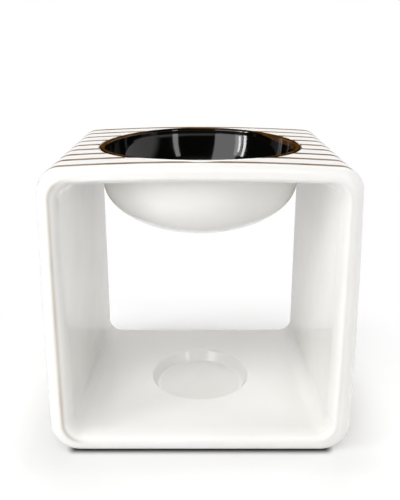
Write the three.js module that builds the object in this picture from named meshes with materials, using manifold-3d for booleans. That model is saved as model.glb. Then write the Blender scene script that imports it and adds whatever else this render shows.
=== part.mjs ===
// Aroma lamp: a glazed ceramic square tube that stands on one of its sides, open to the front and to the
// back, with a lift-out dish for scented oil in its top and a recess for a tealight in its floor.
// Millimetres, +Z up. The front faces -Y. The origin is below the lamp's middle, on what it stands on.

import * as THREE from 'three';
import { ParametricGeometry } from 'three/addons/geometries/ParametricGeometry.js';
import { mergeVertices } from 'three/addons/utils/BufferGeometryUtils.js';
import Module from 'manifold-3d';

// Dish: straight outside and then rounding in to the bottom, an open bowl inside, with a collar that rests
// on a ledge in the body
const DISH_RADIUS = 41.6; // outside of the wall, below the collar
const DISH_FLOOR = 3.2; // thickness of the bottom
const DISH_LIP = 2.2; // thickness of the lip
const DISH_DEPTH = 37.3; // from the crest of the body's top to the dish's underside
const DISH_BOWL_HEIGHT = 22.2; // height of the part that rounds in outside
const DISH_COLLAR = 0.9; // how far the collar stands out from the wall
const DISH_RIM_RISE = 0.2; // how far the rim stands above the body's top
const DISH_RIM_ROUND = 1.1; // height of the rounded lip

// Seat of the dish in the body's mouth
const DISH_CLEARANCE = 0.3; // all round
const SEAT_GAP = 0.3; // under the collar
const LEDGE_DEPTH = 4; // from the crest of the top to the ledge
const LEDGE_THICKNESS = 3.2;

// Body
const SIDE_ROOM = 8.6; // between the dish's wall and the tunnel's sides
const FLAME_ROOM = 73.3; // from the floor to the dish's underside
const FRONT_BAND = 7.2; // from the mouth to the front face, and to the back face
const SIDE_WALL = 10.6; // where a side is widest, halfway from front to back
const TOP_CORNER_RADIUS = 8;
const BASE_CORNER_RADIUS = 11;
const TUNNEL_CORNER_RADIUS = 6.5;
const TOP_CROWN = 2; // the top's middle is this much higher than its ends
const SIDE_BOW = 1.8; // a side is this much further out at its widest than at its upper end
const SIDE_BOW_LEVEL = 0.2; // a side is widest at this share of the height
const CEILING_CROWN = 0.8;
const TUNNEL_DRAFT = 1.8; // a tunnel's side is this much further out in front, and further in at the back
const RIM_ROUND_DEPTH = 4.6; // the front and back rims round off over this depth outside
const RIM_INNER_DEPTH = 3; // and over this depth in the tunnel
const RIM_CREST = 0.35; // place of the rims' crest, as a share of the wall from the tunnel to the outside

// Grooves round the top and the sides
const GROOVE_PITCH = 11;
const GROOVE_WIDTH = 2;
const GROOVE_FLOOR_WIDTH = 0.7;
const GROOVE_DEPTH = 1;
const GROOVE_RUNOUT = 4; // the grooves fade out into the flat base over this height

// Recess for a tealight
const RECESS_RADIUS = 20.8;
const RECESS_DEPTH = 4.7;
const RECESS_LIP_ROUND = 2.4;
const RECESS_FLOOR_ROUND = 1.4;
const FLOOR_UNDER_RECESS = 3.8;

// Pads under the base
const FOOT_RADIUS = 6;
const FOOT_HEIGHT = 1;
const FOOT_INSET = 18; // from the body's widest and deepest faces to a pad's centre

// Fineness of the round shapes, and what a cutter has to spare
const CORNER_STEPS = 6;
const SIDE_STEPS = 6;
const RIM_STEPS = 4;
const ROUND_STEPS = 56;
const BOWL_STEPS = 8;
const INSIDE_STEPS = 10;
const LIP_STEPS = 6;
const FILLET_STEPS = 4;
const FOOT_STEPS = 28;
const CUTTER_SPARE = 3;
const MERGE_DISTANCE = 1e-4;

// Sizes that follow from the ones above
const collarRadius = DISH_RADIUS + DISH_COLLAR;
const mouthRadius = collarRadius + DISH_CLEARANCE;
const ledgeRadius = DISH_RADIUS + DISH_CLEARANCE;
const floorWall = RECESS_DEPTH + FLOOR_UNDER_RECESS;
const topWall = LEDGE_DEPTH + LEDGE_THICKNESS;
const tunnelHalfWidth = DISH_RADIUS + SIDE_ROOM;
const bodyHalfWidth = tunnelHalfWidth + SIDE_WALL;
const bodyHalfDepth = mouthRadius + FRONT_BAND;
const baseZ = FOOT_HEIGHT;
const floorZ = baseZ + floorWall;
const dishBottomZ = floorZ + FLAME_ROOM;
const crestZ = dishBottomZ + DISH_DEPTH;
const ceilingZ = crestZ - topWall;
const ledgeZ = crestZ - LEDGE_DEPTH;

const wasm = await Module();
wasm.setup();

// A closed mesh with shared vertices and without the triangles that collapse at a pole
function closedMesh(geometry) {
  geometry.deleteAttribute('normal');
  geometry.deleteAttribute('uv');
  const merged = mergeVertices(geometry, MERGE_DISTANCE);
  const corners = merged.index.array;
  const kept = [];
  for (let first = 0; first < corners.length; first += 3) {
    const [a, b, c] = corners.slice(first, first + 3);
    if (a !== b && b !== c && c !== a) {
      kept.push(a, b, c);
    }
  }
  merged.setIndex(kept);
  merged.computeVertexNormals();
  return merged;
}

function toSolid(geometry) {
  const mesh = closedMesh(geometry);
  return new wasm.Manifold(new wasm.Mesh({
    numProp: 3,
    vertProperties: new Float32Array(mesh.attributes.position.array),
    triVerts: new Uint32Array(mesh.index.array),
  }));
}

function toGeometry(solid) {
  const mesh = solid.getMesh();
  const geometry = new THREE.BufferGeometry();
  geometry.setAttribute('position', new THREE.BufferAttribute(mesh.vertProperties, mesh.numProp));
  geometry.setIndex(new THREE.BufferAttribute(mesh.triVerts, 1));
  geometry.computeVertexNormals();
  return geometry;
}

// A profile of (radius, height) points turned round the Z axis
function revolve(profile) {
  return new THREE.LatheGeometry(profile, ROUND_STEPS).rotateX(Math.PI / 2);
}

// Points on an arc of an ellipse, both ends included
function arc(centreX, centreY, radiusX, radiusY, startAngle, endAngle, steps) {
  const points = [];
  for (let step = 0; step <= steps; step += 1) {
    const angle = startAngle + (endAngle - startAngle) * (step / steps);
    points.push(new THREE.Vector2(centreX + radiusX * Math.cos(angle), centreY + radiusY * Math.sin(angle)));
  }
  return points;
}

// How far the body's top lies below its crest, at a distance from the middle
function crownDrop(x) {
  return TOP_CROWN * (x / (bodyHalfWidth - SIDE_BOW)) ** 2;
}

// A rounded square in (x, z), from its right side up and over: sides that bow out most low down, a crowned
// top and a flat base
function squareOutline({ halfWidth, bottom, top, topRadius, baseRadius, bow, crown }) {
  const plainHalfWidth = halfWidth - bow;
  const middle = (top - crown + bottom) / 2;
  const halfHeight = (top - crown - bottom) / 2;
  const widest = 2 * SIDE_BOW_LEVEL - 1;
  const quarter = Math.PI / 2;
  const corners = [[1, 1], [-1, 1], [-1, -1], [1, -1]].map(([right, up], index) => {
    const radius = up > 0 ? topRadius : baseRadius;
    const centreX = right * (plainHalfWidth - radius);
    const centreZ = middle + up * (halfHeight - radius);
    return arc(centreX, centreZ, radius, radius, index * quarter, (index + 1) * quarter, CORNER_STEPS);
  });
  const points = [];
  corners.forEach((corner, index) => {
    const next = corners[(index + 1) % corners.length];
    points.push(...corner);
    for (let step = 1; step < SIDE_STEPS; step += 1) {
      points.push(corner[CORNER_STEPS].clone().lerp(next[0], step / SIDE_STEPS));
    }
  });
  return points.map(({ x, y }) => {
    const alongTop = x / plainHalfWidth;
    const alongSide = (y - middle) / halfHeight;
    const fromWidest = (alongSide - widest) / (1 - widest);
    return new THREE.Vector2(
      x + alongTop * bow * (1 - fromWidest ** 2),
      y + Math.max(alongSide, 0) * crown * (1 - alongTop ** 2),
    );
  });
}

// The body's outline, grown all round by a margin, with its base let down by a drop
function bodyOutline(margin, drop) {
  return squareOutline({
    halfWidth: bodyHalfWidth + margin,
    bottom: baseZ - drop,
    top: crestZ + margin,
    topRadius: TOP_CORNER_RADIUS + margin,
    baseRadius: BASE_CORNER_RADIUS + margin,
    bow: SIDE_BOW,
    crown: TOP_CROWN,
  });
}

// Stand a shape that was drawn in (x, z) upright, centred front to back
function extrudeUpright(shape, options) {
  const geometry = new THREE.ExtrudeGeometry(shape, options);
  return geometry.translate(0, 0, -options.depth / 2).rotateX(Math.PI / 2);
}

// The tube's wall: its section is as thick as the wall, which the tunnel's draft makes thicker at the back.
// It is rounded at the front and the back rim, more outside than in the tunnel
function tubeWall() {
  const outside = bodyOutline(0, 0);
  const tunnel = squareOutline({
    halfWidth: tunnelHalfWidth,
    bottom: floorZ,
    top: ceilingZ,
    topRadius: TUNNEL_CORNER_RADIUS,
    baseRadius: TUNNEL_CORNER_RADIUS,
    bow: 0,
    crown: CEILING_CROWN,
  });
  // x runs across the wall, from 0 in the tunnel to 1 outside, and y runs from the front to the back
  const inside = bodyHalfDepth - RIM_INNER_DEPTH;
  const straight = bodyHalfDepth - RIM_ROUND_DEPTH;
  const backRim = [
    ...arc(RIM_CREST, inside, RIM_CREST, RIM_INNER_DEPTH, Math.PI, Math.PI / 2, RIM_STEPS),
    ...arc(RIM_CREST, straight, 1 - RIM_CREST, RIM_ROUND_DEPTH, Math.PI / 2, 0, RIM_STEPS).slice(1),
  ];
  const frontRim = backRim.map(({ x, y }) => new THREE.Vector2(x, -y)).reverse();
  const section = [...backRim, ...frontRim];
  return new ParametricGeometry((u, v, target) => {
    const place = Math.round(u * outside.length) % outside.length;
    const { x: across, y: along } = section[Math.round(v * section.length) % section.length];
    const point = tunnel[place].clone();
    point.x *= 1 - (TUNNEL_DRAFT / tunnelHalfWidth) * (along / bodyHalfDepth);
    point.lerp(outside[place], across);
    target.set(point.x, along, point.y);
  }, outside.length, section.length);
}

// A ring that cuts one groove: it reaches inwards to the groove's floor and slopes back to both its edges
function grooveCutter(y) {
  const slope = (GROOVE_WIDTH - GROOVE_FLOOR_WIDTH) / 2 / GROOVE_DEPTH;
  const reach = GROOVE_DEPTH + CUTTER_SPARE;
  const ring = new THREE.Shape(bodyOutline(2 * CUTTER_SPARE, GROOVE_RUNOUT + 2 * CUTTER_SPARE));
  ring.holes.push(new THREE.Path(bodyOutline(CUTTER_SPARE, GROOVE_RUNOUT + CUTTER_SPARE)));
  return extrudeUpright(ring, {
    depth: GROOVE_FLOOR_WIDTH,
    bevelSize: reach,
    bevelThickness: reach * slope,
    bevelSegments: 1,
  }).translate(0, y, 0);
}

// The mouth in the top, with the ledge that carries the dish
function mouthCutter() {
  const low = ceilingZ - CUTTER_SPARE;
  const high = crestZ + CUTTER_SPARE;
  return revolve([
    new THREE.Vector2(0, low),
    new THREE.Vector2(ledgeRadius, low),
    new THREE.Vector2(ledgeRadius, ledgeZ),
    new THREE.Vector2(mouthRadius, ledgeZ),
    new THREE.Vector2(mouthRadius, high),
    new THREE.Vector2(0, high),
  ]);
}

// The recess in the floor, with a rounded lip and a small fillet round its bottom
function recessCutter() {
  const bottom = floorZ - RECESS_DEPTH;
  const lipRadius = RECESS_RADIUS + RECESS_LIP_ROUND;
  const lipZ = floorZ - RECESS_LIP_ROUND;
  const filletX = RECESS_RADIUS - RECESS_FLOOR_ROUND;
  const filletZ = bottom + RECESS_FLOOR_ROUND;
  const lip = arc(lipRadius, lipZ, RECESS_LIP_ROUND, RECESS_LIP_ROUND, Math.PI, Math.PI / 2, FILLET_STEPS);
  return revolve([
    new THREE.Vector2(0, bottom),
    ...arc(filletX, filletZ, RECESS_FLOOR_ROUND, RECESS_FLOOR_ROUND, -Math.PI / 2, 0, FILLET_STEPS),
    ...lip.slice(0, -1),
    new THREE.Vector2(lipRadius + CUTTER_SPARE, floorZ + CUTTER_SPARE),
    new THREE.Vector2(0, floorZ + CUTTER_SPARE),
  ]);
}

function bodyGeometry() {
  const grooveRoom = bodyHalfDepth - RIM_ROUND_DEPTH - GROOVE_WIDTH / 2;
  const groovesEachSide = Math.floor(grooveRoom / GROOVE_PITCH);
  let body = toSolid(tubeWall());
  for (let place = -groovesEachSide; place <= groovesEachSide; place += 1) {
    body = body.subtract(toSolid(grooveCutter(place * GROOVE_PITCH)));
  }
  body = body.subtract(toSolid(mouthCutter()));
  body = body.subtract(toSolid(recessCutter()));
  return toGeometry(body);
}

// The dish is turned, and then its rim is let down with the crown of the body's top
function dishGeometry() {
  const shoulderZ = ledgeZ + SEAT_GAP;
  const rimZ = crestZ + DISH_RIM_RISE;
  const lipZ = rimZ - DISH_RIM_ROUND;
  const bowlZ = dishBottomZ + DISH_BOWL_HEIGHT;
  const lipHalf = DISH_LIP / 2;
  // The inside is half an ellipse whose middle is level with the rim, and the lip meets it a little lower
  const innerDepth = rimZ - dishBottomZ - DISH_FLOOR;
  const lipAngle = Math.asin(DISH_RIM_ROUND / innerDepth);
  const innerRadius = (collarRadius - DISH_LIP) / Math.cos(lipAngle);
  const inside = arc(0, rimZ, innerRadius, innerDepth, -lipAngle, -Math.PI / 2, INSIDE_STEPS);
  const geometry = revolve([
    ...arc(0, bowlZ, DISH_RADIUS, DISH_BOWL_HEIGHT, -Math.PI / 2, 0, BOWL_STEPS),
    new THREE.Vector2(DISH_RADIUS, shoulderZ),
    new THREE.Vector2(collarRadius, shoulderZ),
    ...arc(collarRadius - lipHalf, lipZ, lipHalf, DISH_RIM_ROUND, 0, Math.PI, LIP_STEPS),
    ...inside.slice(1),
  ]);
  const places = geometry.attributes.position;
  for (let index = 0; index < places.count; index += 1) {
    const z = places.getZ(index);
    const share = THREE.MathUtils.clamp((z - shoulderZ) / (lipZ - shoulderZ), 0, 1);
    places.setZ(index, z - share * crownDrop(places.getX(index)));
  }
  return closedMesh(geometry);
}

function footGeometry() {
  const pad = new THREE.CylinderGeometry(FOOT_RADIUS, FOOT_RADIUS, FOOT_HEIGHT, FOOT_STEPS);
  return closedMesh(pad.rotateX(Math.PI / 2));
}

function piece(name, geometry, material) {
  const mesh = new THREE.Mesh(geometry, material);
  mesh.name = name;
  return mesh;
}

const whiteGlaze = new THREE.MeshStandardMaterial({ color: 0xf1eee8, roughness: 0.12, metalness: 0 });
const blackGlaze = new THREE.MeshStandardMaterial({ color: 0x14110f, roughness: 0.06, metalness: 0 });

const lamp = new THREE.Group();
lamp.add(piece('body', bodyGeometry(), whiteGlaze));
lamp.add(piece('dish', dishGeometry(), blackGlaze));

const feet = new THREE.Group();
for (const [end, along] of [['front', -1], ['back', 1]]) {
  for (const [side, across] of [['left', -1], ['right', 1]]) {
    const felt = new THREE.MeshStandardMaterial({ color: 0x6d665d, roughness: 0.95, metalness: 0 });
    const pad = piece(`foot_pad_${end}_${side}`, footGeometry(), felt);
    pad.position.set(
      across * (bodyHalfWidth - FOOT_INSET),
      along * (bodyHalfDepth - FOOT_INSET),
      FOOT_HEIGHT / 2,
    );
    feet.add(pad);
  }
}
lamp.add(feet);

export default lamp;
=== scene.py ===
# %% [markdown]
# # An aroma lamp in glazed ceramic
# The lamp is a square ceramic tube that stands on one of its sides. A tealight goes into a round recess
# in its floor, and the flame warms a dish that hangs in the top. The solids are loaded first, as a fixed
# frame, and everything made here sits exactly where they are, in metres with Z up.

# %% Load the solids
import math

import bmesh
import bpy
import numpy as np
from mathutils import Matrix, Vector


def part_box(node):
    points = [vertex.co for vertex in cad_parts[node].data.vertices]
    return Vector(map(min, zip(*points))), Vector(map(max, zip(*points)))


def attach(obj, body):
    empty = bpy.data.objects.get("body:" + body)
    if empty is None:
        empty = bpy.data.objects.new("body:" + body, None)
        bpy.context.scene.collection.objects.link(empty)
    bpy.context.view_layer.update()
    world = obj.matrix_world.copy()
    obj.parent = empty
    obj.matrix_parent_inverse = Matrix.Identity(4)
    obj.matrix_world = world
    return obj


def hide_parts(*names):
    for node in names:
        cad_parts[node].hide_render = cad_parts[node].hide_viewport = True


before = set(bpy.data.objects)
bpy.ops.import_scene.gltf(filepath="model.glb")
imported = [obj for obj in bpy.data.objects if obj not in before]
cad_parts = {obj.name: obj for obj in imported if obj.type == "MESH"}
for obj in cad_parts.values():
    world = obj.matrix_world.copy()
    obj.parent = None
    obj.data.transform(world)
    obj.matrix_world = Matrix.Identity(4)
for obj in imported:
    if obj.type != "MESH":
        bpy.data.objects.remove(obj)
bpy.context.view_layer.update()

# %% [markdown]
# ## Sizes
# A potter's drawing is in millimetres, so the sizes here are too, and they become metres only when a
# mesh is made. What the solids' boxes can tell is measured from them, and the rest is the drawing's.

# %% Sizes of the lamp, in millimetres
MM = 0.001


def box_mm(node):
    low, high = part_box(node)
    return np.array(low) / MM, np.array(high) / MM


body_low, body_high = box_mm("body")
HALF_WIDTH, HALF_DEPTH, CREST_Z = map(float, body_high)
BASE_Z = float(body_low[2])

SIDE_WALL, FLOOR_WALL, TOP_WALL = 10.6, 8.5, 7.2
TUNNEL_DRAFT = 1.8
TOP_CORNER, BASE_CORNER, TUNNEL_CORNER = 8.0, 11.0, 6.5
TOP_CROWN, CEILING_CROWN = 2.0, 0.8
SIDE_BOW, SIDE_BOW_LEVEL = 1.8, 0.2
RIM_ROUND, RIM_INNER_ROUND, RIM_CREST = 4.6, 7.0, 0.35
MOUTH_RADIUS, LEDGE_RADIUS, LEDGE_DROP = 42.8, 41.9, 4.0
LEDGE_Z = CREST_Z - LEDGE_DROP
FLOOR_Z = BASE_Z + FLOOR_WALL
CEILING_Z = CREST_Z - TOP_WALL
PLAIN_HALF_WIDTH = HALF_WIDTH - SIDE_BOW
STRAIGHT, TUNNEL_STRAIGHT = HALF_DEPTH - RIM_ROUND, HALF_DEPTH - RIM_INNER_ROUND
print(f"casting {2 * HALF_WIDTH:.1f} x {2 * HALF_DEPTH:.1f} mm, {CREST_Z - BASE_Z:.1f} mm high")

# %% [markdown]
# ## The casting's section
# Seen from the front the tube is a rounded square with a crowned top, a flat base and sides that bow out
# a little, most of all low down, as wet clay does under its own weight. The right half is enough,
# because the left is its mirror image. A line of points runs from the middle of the top, over the
# corner, down the side and back along the base to the middle. The outside and the tunnel get the same
# number of points, so that the wall between them can be spanned point by point.

# %% Half an outline
TOP_STEPS, CORNER_STEPS, SIDE_STEPS, BASE_STEPS = 18, 12, 16, 14
OUTSIDE = dict(half_width=HALF_WIDTH, bottom=BASE_Z, top=CREST_Z, top_corner=TOP_CORNER,
               base_corner=BASE_CORNER, bow=SIDE_BOW, crown=TOP_CROWN)
TUNNEL = dict(half_width=HALF_WIDTH - SIDE_WALL, bottom=FLOOR_Z, top=CEILING_Z, top_corner=TUNNEL_CORNER,
              base_corner=TUNNEL_CORNER, bow=0.0, crown=CEILING_CROWN)


def half_outline(half_width, bottom, top, top_corner, base_corner, bow, crown, start_x=0.0, end_x=0.0):
    """Points (x, z) from the top's middle to the base's middle, or from a hole's edge to a recess's edge."""
    plain = half_width - bow
    plain_top = top - crown
    middle, half_height = (plain_top + bottom) / 2, (plain_top - bottom) / 2
    over = np.linspace(math.pi / 2, 0, CORNER_STEPS + 1)[1:]
    under = np.linspace(0, -math.pi / 2, CORNER_STEPS + 1)[1:]
    top_end, base_start = plain - top_corner, plain - base_corner
    x = np.concatenate([
        np.linspace(start_x, top_end, TOP_STEPS + 1),
        top_end + top_corner * np.cos(over),
        np.full(SIDE_STEPS, plain),
        base_start + base_corner * np.cos(under),
        np.linspace(base_start, end_x, BASE_STEPS + 1)[1:],
    ])
    z = np.concatenate([
        np.full(TOP_STEPS + 1, plain_top),
        plain_top - top_corner + top_corner * np.sin(over),
        np.linspace(plain_top - top_corner, bottom + base_corner, SIDE_STEPS + 1)[1:],
        bottom + base_corner + base_corner * np.sin(under),
        np.full(BASE_STEPS, bottom),
    ])
    along_top, along_side = x / plain, (z - middle) / half_height
    widest = 2 * SIDE_BOW_LEVEL - 1
    bowed_x = x + along_top * bow * (1 - ((along_side - widest) / (1 - widest)) ** 2)
    crowned_z = z + np.maximum(along_side, 0) * crown * (1 - along_top ** 2)
    return np.column_stack([bowed_x, crowned_z])


COLUMNS = len(half_outline(**OUTSIDE))
print("points in half an outline:", COLUMNS)

# %% [markdown]
# ## Rows from front to back
# Grooves need many rows, and the flat bands between them need few. So the rows are placed: close
# together across each groove, a few between two grooves, and close together again where the round mouth
# runs parallel to a row. The rows in the tunnel are the same ones, drawn in a little, because the hole
# in the ceiling is smaller than the mouth above it.

# %% Places of the rows
GROOVE_PITCH, GROOVES_EACH_SIDE = 11.0, 4
# Sizes of a groove, and the width of the painted shade in and beside it.
GROOVE_WIDTH, GROOVE_FLOOR, GROOVE_DEPTH, GROOVE_SHADE_WIDTH = 2.8, 0.8, 1.0, 4.0
MOUTH_ROUND, CEILING_ROUND = 0.35, 0.4
MOUTH_EDGE = MOUTH_RADIUS + MOUTH_ROUND
HOLE_EDGE = LEDGE_RADIUS + CEILING_ROUND
RECESS_EDGE, RECESS_FLAT, RECESS_DEPTH, RECESS_ROUND = 23.2, 19.4, 4.7, 0.9
ACROSS_GROOVE = (0.1, 0.2, 0.31, 0.42, 0.53, 0.64, 0.75, 0.87, 1.0)
BETWEEN_GROOVES = (0.3, 0.5, 0.7)
ROW_GAP = 0.07
MOUTH_END_ROWS, RECESS_END_ROWS = (0, 0.02, 0.08, 0.18, 0.32), (0, 0.03, 0.12)

across_half = GROOVE_SHADE_WIDTH / 2 * np.array(ACROSS_GROOVE)
across_groove = np.concatenate([-across_half[::-1], [0], across_half])
groove_middles = GROOVE_PITCH * np.arange(-GROOVES_EACH_SIDE, GROOVES_EACH_SIDE + 1)
near_mouth_end = MOUTH_EDGE - np.array(MOUTH_END_ROWS)
recess_end = RECESS_EDGE * MOUTH_EDGE / HOLE_EDGE - np.array(RECESS_END_ROWS)
between = (groove_middles[:-1, None] + np.array(BETWEEN_GROOVES) * GROOVE_PITCH).ravel()
front_ends = np.concatenate([near_mouth_end, recess_end, [STRAIGHT]])
fixed_rows = np.concatenate([front_ends, -front_ends])
loose_rows = np.concatenate([(groove_middles[:, None] + across_groove).ravel(), between])
far_enough = np.abs(loose_rows[:, None] - fixed_rows).min(axis=1) > ROW_GAP
rows_out = np.sort(np.concatenate([fixed_rows, loose_rows[far_enough]]))

row_reach = np.abs(rows_out)
past_hole = np.interp(row_reach, [MOUTH_EDGE, STRAIGHT], [HOLE_EDGE, TUNNEL_STRAIGHT])
into_tunnel = np.where(row_reach <= MOUTH_EDGE, row_reach * HOLE_EDGE / MOUTH_EDGE, past_hole)
rows_in = np.sign(rows_out) * into_tunnel
print("rows from front to back:", len(rows_out))

# %% [markdown]
# ## The casting
# The wall is one sheet that goes from the front rim along the outside to the back rim, round it, and
# back through the tunnel. The rims round off across the wall, over a few millimetres outside and half as
# far again into the tunnel, as glaze rounds an edge. The tunnel is a little wider in front than at the
# back, so that the core of the mould draws out of it. Where a row meets the mouth, the hole in the
# ceiling or the recess, it stops at the round edge instead of the middle, and rings of points carry the
# surface on: round the soft edge of the mouth, down over the ledge that carries the dish, and down into
# the recess. Cutting the holes with Boolean would leave sharp edges and uneven faces, and a glossy glaze
# shows both.

# %% Sheet of points for the right half
RIM_STEPS = 36


def edge_x(edge, y):
    """How far from the middle a round edge is at a row, 0 beyond its ends."""
    return np.sqrt(np.maximum(edge ** 2 - y ** 2, 0.0))


def outside_row(y):
    return half_outline(**OUTSIDE, start_x=float(edge_x(MOUTH_EDGE, y)))


def tunnel_row(y, start_x=0.0, end_x=0.0):
    sides = dict(TUNNEL, half_width=TUNNEL["half_width"] - TUNNEL_DRAFT * y / HALF_DEPTH)
    return half_outline(**sides, start_x=float(start_x), end_x=float(end_x))


def rim_rows(end):
    """The rows round the front (-1) or the back (1) rim, from outside to tunnel."""
    rows = []
    for turn in np.linspace(0, math.pi, RIM_STEPS + 1)[1:-1]:
        outer = turn < math.pi / 2
        share = RIM_CREST + (1 - RIM_CREST if outer else RIM_CREST) * math.cos(turn)
        start, depth = (STRAIGHT, RIM_ROUND) if outer else (TUNNEL_STRAIGHT, RIM_INNER_ROUND)
        y = end * (start + depth * math.sin(turn))
        outside, tunnel = half_outline(**OUTSIDE), tunnel_row(y)
        rows.append((tunnel + (outside - tunnel) * share, y, share))
    return rows


sheet = [(outside_row(y), y, 1.0) for y in rows_out]
sheet += rim_rows(1)
sheet += [(tunnel_row(y, edge_x(HOLE_EDGE, y), edge_x(RECESS_EDGE, y)), y, 0.0) for y in rows_in[::-1]]
sheet += rim_rows(-1)[::-1]
points = np.array([[(x, y, z) for x, z in outline] for outline, y, share in sheet])
wall_share = np.repeat([share for outline, y, share in sheet], COLUMNS).reshape(len(sheet), COLUMNS)
print("sheet:", points.shape[0], "rows of", points.shape[1])

# %% [markdown]
# The rings are listed as radius and height, from the top down. The mouth's first rings still follow the
# crowned top, so their height is counted from the top at each point, and the last ones' from the ceiling.

# %% Rings of the mouth and of the recess
ROW_COUNT = len(rows_out)
first_tunnel_row = ROW_COUNT + RIM_STEPS - 1


def tunnel_index(row):
    """Where a row's other half, in the tunnel, stands in the sheet."""
    return first_tunnel_row + ROW_COUNT - 1 - row


def arc(centre_r, centre_z, radius, start, end, steps, rise=None):
    """(radius, height) points on an arc, in degrees, both ends included. A rise makes it an ellipse's."""
    rise = rise or radius
    angles = np.radians(np.linspace(start, end, steps + 1))
    return [(centre_r + radius * math.cos(a), centre_z + rise * math.sin(a)) for a in angles]


LEDGE_ROUND = 0.2
MOUTH_DROPS = (1.3, 2.0)
soft_edge = arc(MOUTH_EDGE, -MOUTH_ROUND, MOUTH_ROUND, 90, 180, 6)[1:]
soft_edge += [(MOUTH_RADIUS, -drop) for drop in MOUTH_DROPS]
ledge = arc(MOUTH_RADIUS - LEDGE_ROUND, LEDGE_Z + LEDGE_ROUND, LEDGE_ROUND, 0, -90, 4)
ledge += arc(LEDGE_RADIUS + LEDGE_ROUND, LEDGE_Z - LEDGE_ROUND, LEDGE_ROUND, 90, 180, 4)
lower_edge = arc(LEDGE_RADIUS + CEILING_ROUND, CEILING_ROUND, CEILING_ROUND, 180, 270, 5)[:-1]

RECESS_FLOOR_RINGS = (18.6, 16.0, 12.0, 8.0, 4.0, 0.0)
wall_run, wall_fall = RECESS_EDGE - RECESS_FLAT, RECESS_DEPTH - 2 * RECESS_ROUND
wall_lean = math.degrees(math.acos(2 * RECESS_ROUND / math.hypot(wall_run, wall_fall))
                         - math.atan2(wall_fall, wall_run))
recess_floor_z = FLOOR_Z - RECESS_DEPTH
recess_lip = arc(RECESS_EDGE, FLOOR_Z - RECESS_ROUND, RECESS_ROUND, 90, 180 - wall_lean, 8)[1:]
recess_fillet = arc(RECESS_FLAT, recess_floor_z + RECESS_ROUND, RECESS_ROUND, -wall_lean, -90, 8)
recess_wall = np.linspace(recess_lip[-1], recess_fillet[0], 5)[1:-1]
recess_rings = recess_lip + [tuple(place) for place in recess_wall] + recess_fillet
recess_rings += [(r, recess_floor_z) for r in RECESS_FLOOR_RINGS]

mouth_rows = [row for row in range(ROW_COUNT) if abs(rows_out[row]) <= MOUTH_EDGE + 1e-9]
recess_rows = [row for row in range(ROW_COUNT) if abs(rows_in[row]) <= RECESS_EDGE + 1e-6]
mouth_angles = np.arcsin(np.clip(rows_out[mouth_rows] / MOUTH_EDGE, -1, 1))
recess_angles = np.arcsin(np.clip(rows_in[recess_rows] / RECESS_EDGE, -1, 1))
top_z = points[mouth_rows, 0, 2]
ceiling_z = np.array([points[tunnel_index(row), 0, 2] for row in mouth_rows])


def ring(radius, angles, heights):
    heights = np.broadcast_to(heights, angles.shape)
    return np.column_stack([radius * np.cos(angles), radius * np.sin(angles), heights])


mouth_rings = [ring(r, mouth_angles, top_z + drop) for r, drop in soft_edge]
mouth_rings += [ring(r, mouth_angles, z) for r, z in ledge]
mouth_rings += [ring(r, mouth_angles, ceiling_z + rise) for r, rise in lower_edge]
print("rings: mouth", len(mouth_rings), "recess", len(recess_rings))

# %% [markdown]
# Each groove is let into the surface later, so each point keeps two things for it: the way inwards, and
# how much of the groove's depth it takes. The grooves fade out where the sides turn under to the base,
# and just inside the mouth's edge. A third number is painted shade, a greyer and warmer colour where
# less light falls. Along the crest of the upright rims it is a line, most of all on the left, partly
# painted shade and partly glaze that lies thin there. On the tunnel's upright sides it is painted shade
# with a warm painted reflection, more so towards the back, and the recess's floor gets painted shade too.

# %% What each point knows about the grooves and the rims
inwards = np.zeros_like(points)
along = np.gradient(points, axis=1)
inwards[..., 0], inwards[..., 2] = along[..., 2], -along[..., 0]
inwards /= np.linalg.norm(inwards, axis=2, keepdims=True) + 1e-12

turn_under_z = BASE_Z + BASE_CORNER
height_below = np.clip(turn_under_z - points[..., 2], 0, BASE_CORNER)
corner_reach = np.sqrt(BASE_CORNER ** 2 - height_below ** 2)
fade = np.clip(corner_reach - (BASE_CORNER - GROOVE_DEPTH), 0, 1)
groove_share = np.where(wall_share == 1.0, fade, 0.0)

# Painted shade along the crest of the upright rims, partly glaze that lies thin there; it is weaker on the
# right.
CREST_SPREAD, RIGHT_CREST = 0.08, 0.2
UPRIGHT_FROM, UPRIGHT_FADE = 46, 7
# How much painted shade the tunnel's sides get, front to back, and the recess's floor.
TUNNEL_SHADE, RECESS_SHADE = (0.14, 0.34), 0.16
upright = np.clip((np.abs(points[..., 0]) - UPRIGHT_FROM) / UPRIGHT_FADE, 0, 1)
on_crest = np.exp(-((wall_share - RIM_CREST) / CREST_SPREAD) ** 2) * upright
on_crest *= np.abs(points[..., 1]) > STRAIGHT
in_tunnel = np.clip(1 - wall_share / RIM_CREST, 0, 1) ** 2
# Painted shade with a warm painted reflection on the tunnel's upright sides, darker towards the back.
darkened = np.interp(points[..., 1], [-HALF_DEPTH, HALF_DEPTH], TUNNEL_SHADE) * in_tunnel * inwards[..., 0] ** 2
print(f"glaze drained by up to {darkened.max():.2f} in the tunnel, worn by {RECESS_SHADE} in the recess")

# %% [markdown]
# Now the points become a mesh: faces between neighbours in the sheet and in the rings, then the mirror
# image, and then the double points along the middle are merged and all faces are turned outwards.

# %% Make the casting's mesh
MOUTH_FADE_START, MOUTH_FADE_STEP = 1.25, 0.16
STRAIGHT_DOWN = (0.0, 0.0, -1.0)
# Each point keeps its share of a groove, its way inwards, and its painted shade along the crests, in the
# tunnel and in the recess.
half_points, half_shares, half_ways, half_crests, half_darkened, half_faces = [], [], [], [], [], []


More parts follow.
